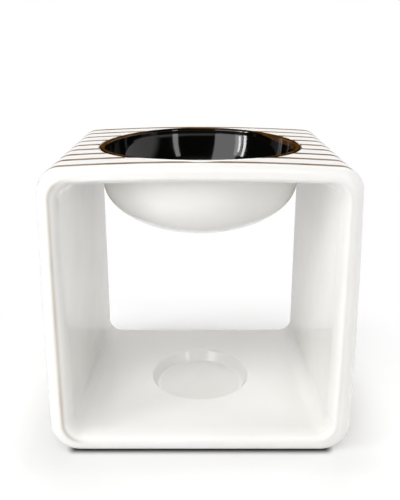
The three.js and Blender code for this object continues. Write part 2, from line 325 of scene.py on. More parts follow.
def add_points(new_points, shares, ways, crests, darkening):
    """Adds a line of points with what they know, and returns their numbers."""
    first, size = len(half_points), len(new_points)
    half_points.extend(map(tuple, new_points))
    half_ways.extend(map(tuple, np.broadcast_to(ways, (size, 3))))
    for kept, values in ((half_shares, shares), (half_crests, crests), (half_darkened, darkening)):
        kept.extend(np.broadcast_to(values, size))
    return list(range(first, first + size))


def join(faces, one, other, closed=False):
    """Adds the faces between two lines of points of the same length, and returns the other line."""
    count = len(one)
    for place in range(count if closed else count - 1):
        after = (place + 1) % count
        faces.append((one[place], one[after], other[after], other[place]))
    return other


grid = [add_points(points[row], groove_share[row], inwards[row], on_crest[row], darkened[row])
        for row in range(len(sheet))]
for row in range(len(grid)):
    join(half_faces, grid[row], grid[(row + 1) % len(grid)])

line = [grid[row][0] for row in mouth_rows]
for number, ring_points in enumerate(mouth_rings):
    share = max(min(MOUTH_FADE_START - MOUTH_FADE_STEP * number, 1), 0) if number < len(soft_edge) else 0
    line = join(half_faces, line, add_points(ring_points, share, STRAIGHT_DOWN, 0, 0))
join(half_faces, line, [grid[tunnel_index(row)][0] for row in mouth_rows])

line = [grid[tunnel_index(row)][-1] for row in recess_rows]
for radius, height in recess_rings:
    # Painted shade on the recess's floor, inside its fillet.
    shadowed = RECESS_SHADE if radius < RECESS_FLAT else 0
    ring_points = ring(radius, recess_angles, height)
    line = join(half_faces, line, add_points(ring_points, 0, STRAIGHT_DOWN, 0, shadowed))
print("half casting:", len(half_points), "points,", len(half_faces), "faces")

# %% Mirror it, merge the middle and turn the faces outwards


def add_attribute(mesh, name, kind, values):
    attribute = mesh.attributes.new(name, kind, "POINT")
    key = "vector" if kind == "FLOAT_VECTOR" else "value"
    attribute.data.foreach_set(key, np.asarray(values, dtype=np.float32).ravel())


def clean_mesh(mesh, merge_mm=0.0005):
    """Merges double points, drops what collapsed and turns the faces outwards."""
    work = bmesh.new()
    work.from_mesh(mesh)
    bmesh.ops.remove_doubles(work, verts=work.verts, dist=merge_mm * MM)
    bmesh.ops.dissolve_degenerate(work, edges=work.edges, dist=merge_mm * MM)
    bmesh.ops.recalc_face_normals(work, faces=work.faces)
    open_edges = sum(1 for edge in work.edges if not edge.is_manifold)
    work.to_mesh(mesh)
    work.free()
    mesh.shade_smooth()
    return open_edges


right = np.array(half_points)
left_ways = np.array(half_ways) * (-1, 1, 1)
count = len(right)
all_points = np.vstack([right, right * (-1, 1, 1)]) * MM
all_faces = half_faces + [tuple(count + corner for corner in reversed(face)) for face in half_faces]
casting_mesh = bpy.data.meshes.new("casting")
casting_mesh.from_pydata(all_points.tolist(), [], all_faces)
add_attribute(casting_mesh, "groove_share", "FLOAT", half_shares * 2)
add_attribute(casting_mesh, "groove_way", "FLOAT_VECTOR", np.vstack([half_ways, left_ways]))
# The attribute is painted shade: along the crests, partly thin glaze and weaker on the right, in the tunnel
# and in the recess.
left_shade_and_thinness = np.maximum(half_crests, half_darkened)
right_shade_and_thinness = np.maximum(np.array(half_crests) * RIGHT_CREST, half_darkened)
add_attribute(casting_mesh, "glaze_shade_and_thinness", "FLOAT", np.concatenate([right_shade_and_thinness, left_shade_and_thinness]))
open_edges = clean_mesh(casting_mesh)
print("casting:", len(casting_mesh.polygons), "faces, open edges:", open_edges)

# %% [markdown]
# ## Helpers for node trees
# Geometry Nodes and materials are both trees of nodes. A few helpers keep the code short: they add a
# node in one line, start a Geometry Nodes tree with named inputs, run it, and start a material. Running
# a tree ends in a plain mesh, because the export keeps no modifiers.

# %% Helpers for node trees


def set_inputs(tree, node, inputs):
    """Joins a node's inputs to sockets, or sets them to plain values."""
    for name, given in inputs.items():
        if isinstance(given, bpy.types.NodeSocket):
            tree.links.new(given, node.inputs[name])
        else:
            node.inputs[name].default_value = given


def add_node(tree, kind, inputs=None, **settings):
    """Adds a node with its settings and inputs."""
    node = tree.nodes.new(kind)
    for setting, value in settings.items():
        setattr(node, setting, value)
    set_inputs(tree, node, inputs or {})
    return node


def calculate(tree, operation, *terms):
    """A Math node, or a chain of them for more than two terms. Each term is a socket or a number."""
    if len(terms) > 2:
        terms = calculate(tree, operation, *terms[:-1]), terms[-1]
    return add_node(tree, "ShaderNodeMath", dict(enumerate(terms)), operation=operation).outputs[0]


def times(tree, *terms):
    """Terms multiplied together."""
    return calculate(tree, "MULTIPLY", *terms)


def vector(tree, operation, one, other=(0, 0, 0)):
    """A Vector Math node. The other term is a socket or three numbers, and SCALE scales by it."""
    other_input = "Scale" if operation == "SCALE" else 1
    node = add_node(tree, "ShaderNodeVectorMath", {0: one, other_input: other}, operation=operation)
    return node.outputs["Value" if operation == "LENGTH" else "Vector"]


def axes(tree, place):
    """The X, Y and Z of a place, as sockets."""
    return add_node(tree, "ShaderNodeSeparateXYZ", {"Vector": place}).outputs


def add_object(name, data):
    """A new object in the scene, at the origin."""
    made = bpy.data.objects.new(name, data)
    bpy.context.scene.collection.objects.link(made)
    return made


NUMBER_SOCKETS = {float: "NodeSocketFloat", int: "NodeSocketInt"}


def start_tree(name, inputs):
    """A Geometry Nodes tree, its named inputs as sockets, and its last node."""
    tree = bpy.data.node_groups.new(name, "GeometryNodeTree")
    tree.interface.new_socket("Geometry", in_out="INPUT", socket_type="NodeSocketGeometry")
    for label, value in inputs.items():
        kind = NUMBER_SOCKETS.get(type(value), "NodeSocketMaterial")
        socket = tree.interface.new_socket(label, in_out="INPUT", socket_type=kind)
        if type(value) in NUMBER_SOCKETS:
            socket.default_value = value
    tree.interface.new_socket("Geometry", in_out="OUTPUT", socket_type="NodeSocketGeometry")
    return tree, add_node(tree, "NodeGroupInput").outputs, add_node(tree, "NodeGroupOutput")


def run_tree(name, tree, start_mesh, inputs):
    """Puts a tree on a mesh, sets its inputs and returns a plain mesh object with the result."""
    carrier = add_object(name + "_carrier", start_mesh)
    modifier = carrier.modifiers.new(name, "NODES")
    modifier.node_group = tree
    given = [item for item in tree.interface.items_tree if item.in_out == "INPUT"]
    identifiers = {item.name: item.identifier for item in given}
    for label, value in inputs.items():
        modifier[identifiers[label]] = value
    evaluated = carrier.evaluated_get(bpy.context.evaluated_depsgraph_get())
    result = bpy.data.meshes.new_from_object(evaluated)
    bpy.data.objects.remove(carrier)
    result.name = name
    return add_object(name, result)


def new_material(name):
    """A material, its tree of nodes, its shader and its Object coordinates."""
    material = bpy.data.materials.new(name)
    material.use_nodes = True
    tree = material.node_tree
    place = add_node(tree, "ShaderNodeTexCoord").outputs["Object"]
    return material, tree, tree.nodes["Principled BSDF"], place


print("helpers ready")

# %% [markdown]
# ## White glaze
# The casting is dipped in a warm white gloss glaze, which wanders a little in colour. Painted shade makes
# it greyer and warmer in the tunnel, in the recess and along the rims' crests, where it is partly thin
# glaze. The grooves get a brown that is painted shade with a warm painted reflection and doesn't shine, so
# one recipe makes a glossy and a dull material. A fired glaze is faintly wavy, which bends reflections
# slightly. The base is wiped bare, so that it doesn't stick to the kiln shelf, and shows the matt clay.
# All of it reads Object coordinates and attributes of the mesh, so it stays in place when the piece moves.

# %% White glaze
WHITE = (0.918, 0.913, 0.898, 1)
WHITE_WARM = (0.905, 0.894, 0.868, 1)
# The grooves' brown is painted shade with a warm painted reflection.
GROOVE_BROWN = (0.22, 0.13, 0.05, 1)
# Painted shade, greyer and warmer, partly thin glaze at the rims' crests.
SHADE_AND_THIN_GLAZE = (0.5, 0.45, 0.375, 1)
BARE_CLAY, DARK_CLAY = (0.7, 0.66, 0.59, 1), (0.6, 0.555, 0.48, 1)
# How the grooves' painted shade fades in across a groove.
GROOVE_SHADE_FROM, GROOVE_SHADE_FULL = 0.03, 0.4
BARE_BELOW, BARE_FADE = 0.05, 0.2
BARE_DULLNESS, PEEL_SHARE = 0.8, 0.06
WHITE_GLOSS, SHADE_AND_THINNESS_WANDER, GROOVE_SHADE_WANDER = (0.07, 0.12), (0.75, 1.0), (0.82, 1.0)


def fade_between(tree, factor, one, other):
    """A colour that goes from one to the other with a factor."""
    mix = add_node(tree, "ShaderNodeMix", {"Factor": factor}, data_type="RGBA", clamp_factor=True)
    for place, socket in enumerate(mix.inputs):
        if socket.type == "RGBA":
            set_inputs(tree, mix, {place: one if socket.name == "A" else other})
    return next(socket for socket in mix.outputs if socket.type == "RGBA")


def noise(tree, place, scale, detail=2.0, roughness=0.5):
    """Even noise between 0 and 1. The scale is in waves per metre."""
    inputs = {"Vector": place, "Scale": scale, "Detail": detail, "Roughness": roughness}
    return add_node(tree, "ShaderNodeTexNoise", inputs).outputs["Fac"]


def smooth_range(tree, value, low, high, at_low=0.0, at_high=1.0):
    """A number that goes smoothly from at_low to at_high while a value goes from low to high."""
    inputs = {"Value": value, "From Min": low, "From Max": high, "To Min": at_low, "To Max": at_high}
    return add_node(tree, "ShaderNodeMapRange", inputs, interpolation_type="SMOOTHSTEP").outputs["Result"]


def spotty(tree, place, scale, low, high):
    """A number that wanders between low and high over the surface."""
    return smooth_range(tree, noise(tree, place, scale), 0.3, 0.7, low, high)


def white_colour(tree, place):
    """The white of the glaze, which wanders to a warmer white."""
    cloud = noise(tree, place, 28, detail=3.0)
    return fade_between(tree, smooth_range(tree, cloud, 0.35, 0.7), WHITE, WHITE_WARM)


def fire_glaze(tree, shader, place, colour, roughness, shine):
    """Colour and gloss for a shader, with the faint waviness of a fired glaze as bump."""
    wavy = noise(tree, place, 55, detail=1.5)
    peel = noise(tree, place, 420, detail=1.0)
    height = calculate(tree, "ADD", wavy, times(tree, peel, PEEL_SHARE))
    bump = add_node(tree, "ShaderNodeBump", {"Height": height, "Strength": 0.1, "Distance": 0.7 * MM})
    set_inputs(tree, shader, {"Base Color": colour, "Roughness": roughness, "Specular IOR Level": shine,
                              "Normal": bump.outputs["Normal"]})


def casting_material(name, shine, dullness):
    """Warm white with painted shade, partly thin glaze, brown painted shade in the grooves, and bare
    underneath.
    """
    material, tree, shader, place = new_material(name)
    # Painted shade from the mesh's attribute, partly thin glaze at the crests.
    shade_and_thinness = add_node(tree, "ShaderNodeAttribute", attribute_name="glaze_shade_and_thinness").outputs["Fac"]
    shade_and_thinness = times(tree, shade_and_thinness, spotty(tree, place, 60, *SHADE_AND_THINNESS_WANDER))
    colour = fade_between(tree, shade_and_thinness, white_colour(tree, place), SHADE_AND_THIN_GLAZE)
    # Brown painted shade with a warm painted reflection in the grooves.
    groove = add_node(tree, "ShaderNodeAttribute", attribute_name="groove_painted_shade").outputs["Fac"]
    painted_shade = smooth_range(tree, groove, GROOVE_SHADE_FROM, GROOVE_SHADE_FULL)
    painted_shade = times(tree, painted_shade, spotty(tree, place, 70, *GROOVE_SHADE_WANDER))
    colour = fade_between(tree, painted_shade, colour, GROOVE_BROWN)
    height = axes(tree, place)["Z"]
    bare_z = BASE_Z + BARE_BELOW
    bare = smooth_range(tree, height, (bare_z + BARE_FADE) * MM, bare_z * MM)
    clay = fade_between(tree, noise(tree, place, 900), BARE_CLAY, DARK_CLAY)
    colour = fade_between(tree, bare, colour, clay)
    gloss = spotty(tree, place, 90, *(edge + dullness for edge in WHITE_GLOSS))
    roughness = calculate(tree, "ADD", gloss, times(tree, bare, BARE_DULLNESS))
    fire_glaze(tree, shader, place, colour, roughness, shine)
    return material


white_glaze = casting_material("white_glaze", shine=0.5, dullness=0.0)
# The dull material carries the grooves' painted shade.
groove_painted_shade = casting_material("groove_painted_shade", shine=0.0, dullness=0.6)
print("casting materials:", white_glaze.name, groove_painted_shade.name)

# %% [markdown]
# ## Grooves
# Nine narrow grooves run round the top and down both sides. They repeat at one pitch and follow the
# surface, so a Geometry Nodes tree makes them. For each point it finds the nearest groove, turns the
# distance from that groove's middle into a depth with soft edges, and moves the point inwards by it.
# Changing the pitch, the count, the width or the depth is then one number. The grooves' painted shade
# spreads a little past a groove's edges, so its strength is worked out the same way over a wider band,
# and stored as an attribute for the glaze to read.

# %% Grooves
# Where the grooves' painted shade is strong enough for the dull material.
GROOVE_SHADE_EDGE = 0.2
GROOVE_INPUTS = {
    "Pitch": GROOVE_PITCH * MM,
    "Grooves Each Side": GROOVES_EACH_SIDE,
    "Width": GROOVE_WIDTH * MM,
    "Floor Width": GROOVE_FLOOR * MM,
    "Depth": GROOVE_DEPTH * MM,
    # Width of the grooves' painted shade.
    "Painted Shade Width": GROOVE_SHADE_WIDTH * MM,
    "Glaze": white_glaze,
    # Dull material for the grooves' painted shade.
    "Painted Shade": groove_painted_shade,
}
tree, given, result = start_tree("grooves", GROOVE_INPUTS)
spot = add_node(tree, "GeometryNodeInputPosition").outputs[0]
along_y = axes(tree, spot)["Y"]
pitch, last_groove = given["Pitch"], given["Grooves Each Side"]
first_groove = times(tree, last_groove, -1.0)
nearest = calculate(tree, "ROUND", calculate(tree, "DIVIDE", along_y, pitch))
nearest = calculate(tree, "MINIMUM", calculate(tree, "MAXIMUM", nearest, first_groove), last_groove)
middle = times(tree, nearest, pitch)
distance = calculate(tree, "ABSOLUTE", calculate(tree, "SUBTRACT", along_y, middle))
half_floor = times(tree, given["Floor Width"], 0.5)


def stored(name, kind="FLOAT"):
    """An attribute of the mesh, as a socket."""
    node = add_node(tree, "GeometryNodeInputNamedAttribute", {"Name": name}, data_type=kind)
    return node.outputs["Attribute"]


def across_groove_share(width):
    """1 on the groove's floor and 0 beyond a width, with soft edges."""
    half_width = times(tree, given[width], 0.5)
    fade_out = smooth_range(tree, distance, half_floor, half_width, 1.0, 0.0)
    return times(tree, fade_out, stored("groove_share"))


depth = times(tree, across_groove_share("Width"), given["Depth"])
move = vector(tree, "SCALE", stored("groove_way", "FLOAT_VECTOR"), depth)
# How much painted shade each point in and beside a groove gets, stored for the glaze.
shaded = across_groove_share("Painted Shade Width")
keep = add_node(tree, "GeometryNodeStoreNamedAttribute",
                {"Geometry": given["Geometry"], "Value": shaded, "Name": "groove_painted_shade"},
                data_type="FLOAT", domain="POINT")
print("grooves:", len(tree.nodes), "nodes so far")

# %% [markdown]
# The tree ends by moving the points and giving the faces their material: glaze everywhere, and then the
# dull material with the grooves' painted shade where there is enough of it.

# %% Grooved and glazed casting
moved = add_node(tree, "GeometryNodeSetPosition", {"Geometry": keep.outputs[0], "Offset": move})
plain = add_node(tree, "GeometryNodeRealizeInstances", {"Geometry": moved.outputs[0]})
glazed = add_node(tree, "GeometryNodeSetMaterial",
                  {"Geometry": plain.outputs[0], "Material": given["Glaze"]})
# Faces with enough of the grooves' painted shade take the dull material.
in_groove = calculate(tree, "GREATER_THAN", stored("groove_painted_shade"), GROOVE_SHADE_EDGE)
painted_grooves = add_node(tree, "GeometryNodeSetMaterial", {"Geometry": glazed.outputs[0], "Selection": in_groove,
                                                    "Material": given["Painted Shade"]})
tree.links.new(painted_grooves.outputs[0], result.inputs[0])

body = run_tree("body_casting", tree, casting_mesh, GROOVE_INPUTS)
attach(body, "lamp")
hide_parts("body")
# Faces that carry the grooves' painted shade.
shaded_faces = sum(1 for face in body.data.polygons if face.material_index)
print("grooved casting:", len(body.data.polygons), "faces,", shaded_faces, "of them stained")

# %% [markdown]
# ## The dish
# The dish is thrown or jiggered, so it is round: a profile turned round the Z axis. Outside it is
# straight and then rounds in, and inside it is an open bowl, half an ellipse from lip to lip. Its collar
# rests on the ledge and its lip stands a hair above the top. The lamp's top is crowned, so the lip is
# let down with it at the left and the right. Each point also stores how far it is from the lip's crest
# along the profile, which is what the glaze line follows.

# %% Profile of the dish
dish_low = box_mm("dish")[0]
DISH_WALL_RADIUS, DISH_COLLAR_RADIUS = 41.6, 42.5
DISH_BOWL_HEIGHT, DISH_FLOOR = 22.2, 3.2
DISH_LIP, DISH_LIP_HEIGHT, DISH_LIP_STAND = 2.2, 1.1, 0.2
SEAT_GAP, SHOULDER_ROUND, COLLAR_ROUND = 0.3, 0.2, 0.25
DISH_BOTTOM_Z, DISH_RIM_Z = float(dish_low[2]), CREST_Z + DISH_LIP_STAND
DISH_BOWL_Z = DISH_BOTTOM_Z + DISH_BOWL_HEIGHT
SHOULDER_Z = LEDGE_Z + SEAT_GAP
WALL_TOP_Z, COLLAR_Z = SHOULDER_Z - SHOULDER_ROUND, SHOULDER_Z + COLLAR_ROUND
LIP_Z = DISH_RIM_Z - DISH_LIP_HEIGHT
INSIDE_DEPTH = DISH_RIM_Z - DISH_BOTTOM_Z - DISH_FLOOR
ROUND_STEPS = 160

lip_half = DISH_LIP / 2
lip_angle = math.asin(DISH_LIP_HEIGHT / INSIDE_DEPTH)
inside_radius = (DISH_COLLAR_RADIUS - DISH_LIP) / math.cos(lip_angle)
outside_profile = arc(0, DISH_BOWL_Z, DISH_WALL_RADIUS, -90, 0, 36, rise=DISH_BOWL_HEIGHT)
outside_profile += [(DISH_WALL_RADIUS, z) for z in np.linspace(DISH_BOWL_Z, WALL_TOP_Z, 8)[1:]]
outside_profile += arc(DISH_WALL_RADIUS + SHOULDER_ROUND, WALL_TOP_Z, SHOULDER_ROUND, 180, 90, 3)[1:]
outside_profile += arc(DISH_COLLAR_RADIUS - COLLAR_ROUND, COLLAR_Z, COLLAR_ROUND, -90, 0, 4)
outside_profile += [(DISH_COLLAR_RADIUS, z) for z in np.linspace(COLLAR_Z, LIP_Z, 5)[1:-1]]
lip_profile = arc(DISH_COLLAR_RADIUS - lip_half, LIP_Z, lip_half, 0, 180, 24, rise=DISH_LIP_HEIGHT)
inside_start = -math.degrees(lip_angle)
inside_profile = arc(0, DISH_RIM_Z, inside_radius, inside_start, -90, 56, rise=INSIDE_DEPTH)[1:]
profile_points = np.array(outside_profile + lip_profile + inside_profile)
steps_along = np.r_[0, np.cumsum(np.hypot(*np.diff(profile_points, axis=0).T))]
crest_place = len(outside_profile) + len(lip_profile) // 2
from_crest = steps_along - steps_along[crest_place]
print("dish profile:", len(profile_points), "points, lip crest at", profile_points[crest_place].round(2))

# %% [markdown]
# The dish could be turned with a Screw modifier. Rings of points made here keep the lip's drop and the
# distance from its crest in the same loop, and the middle points merge into one at each end.

# %% Turn the dish
dish_turns = np.arange(ROUND_STEPS) * 2 * math.pi / ROUND_STEPS
dish_points, dish_lines, dish_faces = [], [], []
for (radius, z), line_mm in zip(profile_points, from_crest):
    lower = float(np.clip((z - SHOULDER_Z) / (LIP_Z - SHOULDER_Z), 0, 1))
    x, y = radius * np.cos(dish_turns), radius * np.sin(dish_turns)
    drop = lower * TOP_CROWN * (x / PLAIN_HALF_WIDTH) ** 2
    dish_points.append(np.column_stack([x, y, z - drop]))
    dish_lines.append(np.full(ROUND_STEPS, line_mm))
for first in range(0, (len(dish_points) - 1) * ROUND_STEPS, ROUND_STEPS):
    lower_ring = list(range(first, first + ROUND_STEPS))
    join(dish_faces, lower_ring, [corner + ROUND_STEPS for corner in lower_ring], closed=True)
dish_mesh = bpy.data.meshes.new("oil_dish")
dish_mesh.from_pydata((np.vstack(dish_points) * MM).tolist(), [], dish_faces)
add_attribute(dish_mesh, "from_lip", "FLOAT", np.concatenate(dish_lines))
open_edges = clean_mesh(dish_mesh)
dish = add_object("oil_dish", dish_mesh)
print("dish:", len(dish_mesh.polygons), "faces, open edges:", open_edges)

# %% [markdown]
# ## The dish's glazes
# Outside, the dish has the same white glaze as the casting. Inside it is glossy black. The black is
# poured in and out again, so it never ends quite level: at the front it stops on the lip's crest, at the
# sides it runs right over to the outer edge, and at the back it ends just past the crest. It ends in a
# dark line, and just inside that line it lies thin and breaks to a dull brown, widest at the left and
# most of all at the right. The colours read the distance from the lip's crest, shifted a little by noise
# so that the line isn't ruled. The thin glaze on the lip hardly shines and the thick glaze does, so one
# recipe makes two materials, and the faces on the lip take the dull one.

# %% Glazes of the dish
BLACK = (0.002, 0.0018, 0.0016, 1)
LINE_DARK = (0.008, 0.004, 0.002, 1)
BROWN, BROWN_PALE = (0.06, 0.022, 0.003, 1), (0.125, 0.05, 0.007, 1)
LINE_AT_FRONT, LINE_OVER, LINE_AT_BACK = 0.05, 1.25, 0.4
LINE_WANDER, BROWN_WANDER = 0.5, 1.6
WHITE_TO_LINE, LINE_TO_BROWN, BROWN_TO_BLACK = (-0.15, 0.1), (0.4, 0.8), (0.0, 0.8)
BROWN_WIDTHS, RIGHT_BLOTCH = (0.9, 2.6), 2.5
LIP_BAND, DISH_GLOSS = (-2.0, 1.3), (0.04, 0.08)
FRONT_TURN, BACK_TURN = (-0.92, -0.7), (0.2, 0.9)
SIDE_TURN, BLOTCH_TURN = (0.5, 1.0), (0.6, 0.9)


def over_turn(tree, place, turn, at_low, at_high):
    """A number that changes over a stretch of the lip, given in shares of the dish's radius."""
    low, high = (share * DISH_COLLAR_RADIUS * MM for share in turn)
    return smooth_range(tree, place, low, high, at_low, at_high)


def unruled(tree, place, scale, detail, reach):
    """A shift in millimetres that wanders up and down, so that an edge isn't ruled."""
    middled = calculate(tree, "SUBTRACT", noise(tree, place, scale, detail), 0.5)
    return times(tree, middled, reach)


def dish_material(name, shine, dullness):
    """White outside, a dark line and brown on the lip, and black inside."""
    material, tree, shader, place = new_material(name)
    from_lip = add_node(tree, "ShaderNodeAttribute", attribute_name="from_lip").outputs["Fac"]
    across, to_back = axes(tree, place)[:2]
    front_over = over_turn(tree, to_back, FRONT_TURN, LINE_AT_FRONT, LINE_OVER)
    back_over = over_turn(tree, to_back, BACK_TURN, 1.0, LINE_AT_BACK)
    over = times(tree, front_over, back_over)
    wander = unruled(tree, place, 120, 3.0, LINE_WANDER)
    past_line = calculate(tree, "ADD", from_lip, wander, over)
    mottle = smooth_range(tree, noise(tree, place, 160, detail=3.0), 0.35, 0.75)
    brown = fade_between(tree, mottle, BROWN, BROWN_PALE)
    brown = fade_between(tree, smooth_range(tree, past_line, *LINE_TO_BROWN), LINE_DARK, brown)
    band = over_turn(tree, calculate(tree, "ABSOLUTE", across), SIDE_TURN, *BROWN_WIDTHS)
    blotch = over_turn(tree, across, BLOTCH_TURN, 0.0, RIGHT_BLOTCH)
    band = calculate(tree, "ADD", band, blotch)
    uneven = unruled(tree, place, 30, 2.0, BROWN_WANDER)
    past_brown = calculate(tree, "SUBTRACT", calculate(tree, "ADD", past_line, uneven), band)
    inside_colour = fade_between(tree, smooth_range(tree, past_brown, *BROWN_TO_BLACK), brown, BLACK)
    dark = smooth_range(tree, past_line, *WHITE_TO_LINE)
    colour = fade_between(tree, dark, white_colour(tree, place), inside_colour)
    roughness = spotty(tree, place, 90, *(edge + dullness for edge in DISH_GLOSS))
    fire_glaze(tree, shader, place, colour, roughness, shine)
    return material


dish_mesh.materials.append(dish_material("dish_glaze", shine=0.5, dullness=0.0))
dish_mesh.materials.append(dish_material("lip_glaze", shine=0.0, dullness=0.5))
lip_marks = dish_mesh.attributes["from_lip"].data
for face in dish_mesh.polygons:
    from_crest_mm = sum(lip_marks[corner].value for corner in face.vertices) / len(face.vertices)
    face.material_index = int(LIP_BAND[0] < from_crest_mm < LIP_BAND[1])
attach(dish, "dish")
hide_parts("dish")
print("dish glazes:", [material.name for material in dish_mesh.materials])

# %% [markdown]
# ## Felt pads
# Four thin felt discs under the base keep it from scratching the table. They are pressed and punched
# from sheet felt, so they have a slightly barrelled, fibrous edge. Four copies of one disc is work for
# Geometry Nodes: a grid of two by two points, a disc on each, and a little seeded noise on the edge.

# %% Felt
FELT, FELT_PALE = (0.1, 0.092, 0.082, 1), (0.21, 0.195, 0.175, 1)
FIBRE_SHARE, PATCH_SHARE = 0.7, 0.3
felt, tree, shader, place = new_material("felt")
fibres = noise(tree, place, 2600, detail=4.0, roughness=0.7)
fibre_part = times(tree, fibres, FIBRE_SHARE)
patch_part = times(tree, noise(tree, place, 300), PATCH_SHARE)
shade = smooth_range(tree, calculate(tree, "ADD", fibre_part, patch_part), 0.35, 0.65)
bump = add_node(tree, "ShaderNodeBump", {"Height": fibres, "Strength": 0.6, "Distance": 0.3 * MM})
set_inputs(tree, shader, {"Base Color": fade_between(tree, shade, FELT, FELT_PALE), "Sheen Weight": 0.3,
                          "Roughness": smooth_range(tree, fibres, 0.2, 0.8, 0.85, 1.0),
                          "Normal": bump.outputs["Normal"]})
print("felt:", len(tree.nodes), "nodes")

# %% [markdown]
# The tree shapes one disc round the origin first: its upper and lower edges are drawn in a little. Then
# a copy goes to each point of the grid, the copies become real, and every point is pushed about a
# little, differently on each pad.

# %% One disc and its four places
pad_low, pad_high = box_mm("foot_pad_front_left")
far_low = box_mm("foot_pad_back_right")[0]
PAD_INPUTS = {
    "Spread Across": float(far_low[0] - pad_low[0]) * MM,
    "Spread Along": float(far_low[1] - pad_low[1]) * MM,
    "Radius": float(pad_high[0] - pad_low[0]) / 2 * MM,
    "Height": float(pad_high[2] - pad_low[2]) * MM,
    "Barrel": 0.05,
    "Fuzz": 0.12 * MM,
    "Seed": 7,
    "Felt": felt,
}
tree, given, result = start_tree("felt_pads", PAD_INPUTS)
corners = add_node(tree, "GeometryNodeMeshGrid",
                   {"Size X": given["Spread Across"], "Size Y": given["Spread Along"],
                    "Vertices X": 2, "Vertices Y": 2})
disc = add_node(tree, "GeometryNodeMeshCylinder",
                {"Radius": given["Radius"], "Depth": given["Height"],
                 "Vertices": 72, "Side Segments": 6, "Fill Segments": 3}, fill_type="TRIANGLE_FAN")
spot = add_node(tree, "GeometryNodeInputPosition").outputs[0]
half_height = times(tree, given["Height"], 0.5)
level = calculate(tree, "ABSOLUTE", calculate(tree, "DIVIDE", axes(tree, spot)["Z"], half_height))
narrow = times(tree, calculate(tree, "POWER", level, 4.0), given["Barrel"])
keep_share = calculate(tree, "SUBTRACT", 1.0, narrow)
flat_scale = add_node(tree, "ShaderNodeCombineXYZ", {"X": keep_share, "Y": keep_share, "Z": 1.0})
barrelled = vector(tree, "MULTIPLY", spot, flat_scale.outputs[0])
shaped = add_node(tree, "GeometryNodeSetPosition", {"Geometry": disc.outputs["Mesh"], "Position": barrelled})
copies = add_node(tree, "GeometryNodeInstanceOnPoints",
                  {"Points": corners.outputs["Mesh"], "Instance": shaped.outputs[0]})
print("pads:", len(tree.nodes), "nodes so far")

# %% Four felt pads
plain = add_node(tree, "GeometryNodeRealizeInstances", {"Geometry": copies.outputs[0]})
fuzz = add_node(tree, "FunctionNodeRandomValue",
                {"Seed": given["Seed"], 0: (-1, -1, 0), 1: (1, 1, 0)}, data_type="FLOAT_VECTOR")
push = vector(tree, "SCALE", fuzz.outputs[0], given["Fuzz"])
lift = add_node(tree, "ShaderNodeCombineXYZ", {"Z": half_height})
shift = vector(tree, "ADD", push, lift.outputs[0])
fuzzy = add_node(tree, "GeometryNodeSetPosition", {"Geometry": plain.outputs[0], "Offset": shift})
covered = add_node(tree, "GeometryNodeSetMaterial",
                   {"Geometry": fuzzy.outputs[0], "Material": given["Felt"]})
tree.links.new(covered.outputs[0], result.inputs[0])

pads = run_tree("felt_pads", tree, bpy.data.meshes.new("pads_start"), PAD_INPUTS)
pads.data.shade_smooth()
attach(pads, "lamp")
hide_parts("foot_pad_front_left", "foot_pad_front_right", "foot_pad_back_left", "foot_pad_back_right")
print("pads:", len(pads.data.polygons), "faces")

# %% [markdown]
# ## Floor and backdrop
# A white paper sweep: a flat floor that curves up behind the lamp, so that no edge shows. Near the lamp
# it is plain paper that takes the lamp's soft shadow, and right under the base a dark painted shadow is
# put in its colour, where no light gets. Further away it turns to an even white for the camera and for
# reflections, as an evenly lit backdrop would be. A little of that white also lies on the paper near the
# lamp, which keeps the shadow pale. For the light that falls on the lamp the far paper is dim, so that it
# doesn't shine into the tunnel from behind.

# %% Sweep
SWEEP_HALF, SWEEP_FRONT, SWEEP_BACK, SWEEP_CURVE, SWEEP_TOP = 1.6, -1.4, 0.9, 0.5, 1.7
sweep_line = [(SWEEP_FRONT, 0.0)]
sweep_line += arc(SWEEP_BACK - SWEEP_CURVE, SWEEP_CURVE, SWEEP_CURVE, -90, 0, 24)
sweep_line += [(SWEEP_BACK, SWEEP_TOP)]
sweep_points = [(side * SWEEP_HALF, y, z) for y, z in sweep_line for side in (-1, 1)]
sweep_faces = [(2 * i, 2 * i + 1, 2 * i + 3, 2 * i + 2) for i in range(len(sweep_line) - 1)]
sweep_mesh = bpy.data.meshes.new("paper_sweep")
sweep_mesh.from_pydata(sweep_points, [], sweep_faces)
sweep_mesh.shade_smooth()
sweep = add_object("paper_sweep", sweep_mesh)
print("sweep:", len(sweep_faces), "faces")

# %% Paper, with distances in metres
PAPER, DIM_PAPER = (0.78, 0.78, 0.78, 1), (0.15, 0.15, 0.15, 1)
# A painted shadow for right under the base, and the backdrop's white.
PAINTED_BASE_SHADOW, BACKDROP = (0.05, 0.047, 0.043, 1), (1, 1, 1, 1)
BASE_SHADE, BASE_SHADE_INSET = 0.0045, 0.7
DIM_AWAY, DIM_BEHIND = (0.15, 0.4), (0.09, 0.16)
WHITE_AWAY = (0.0, 0.07)
LIFT_AWAY, PAPER_LIFT = (0.0, 0.03), (0.16, 0.31)
paper, tree, shader, place = new_material("paper")


def outside_box(tree, place, half_x, half_y):
    """How far a place on the floor is from a box round the middle, 0 inside it, in metres."""
    half_box = (half_x * MM, half_y * MM, 0)
    past = vector(tree, "SUBTRACT", vector(tree, "ABSOLUTE", place), half_box)
    return vector(tree, "LENGTH", vector(tree, "MAXIMUM", past, (0, 0, 0)))


away = outside_box(tree, place, HALF_WIDTH, HALF_DEPTH)
beside_base = outside_box(tree, place, PLAIN_HALF_WIDTH - BASE_SHADE_INSET * BASE_CORNER, STRAIGHT)
dim_behind = smooth_range(tree, axes(tree, place)["Y"], *DIM_BEHIND)
dim = calculate(tree, "MAXIMUM", smooth_range(tree, away, *DIM_AWAY), dim_behind)
colour = fade_between(tree, dim, PAPER, DIM_PAPER)
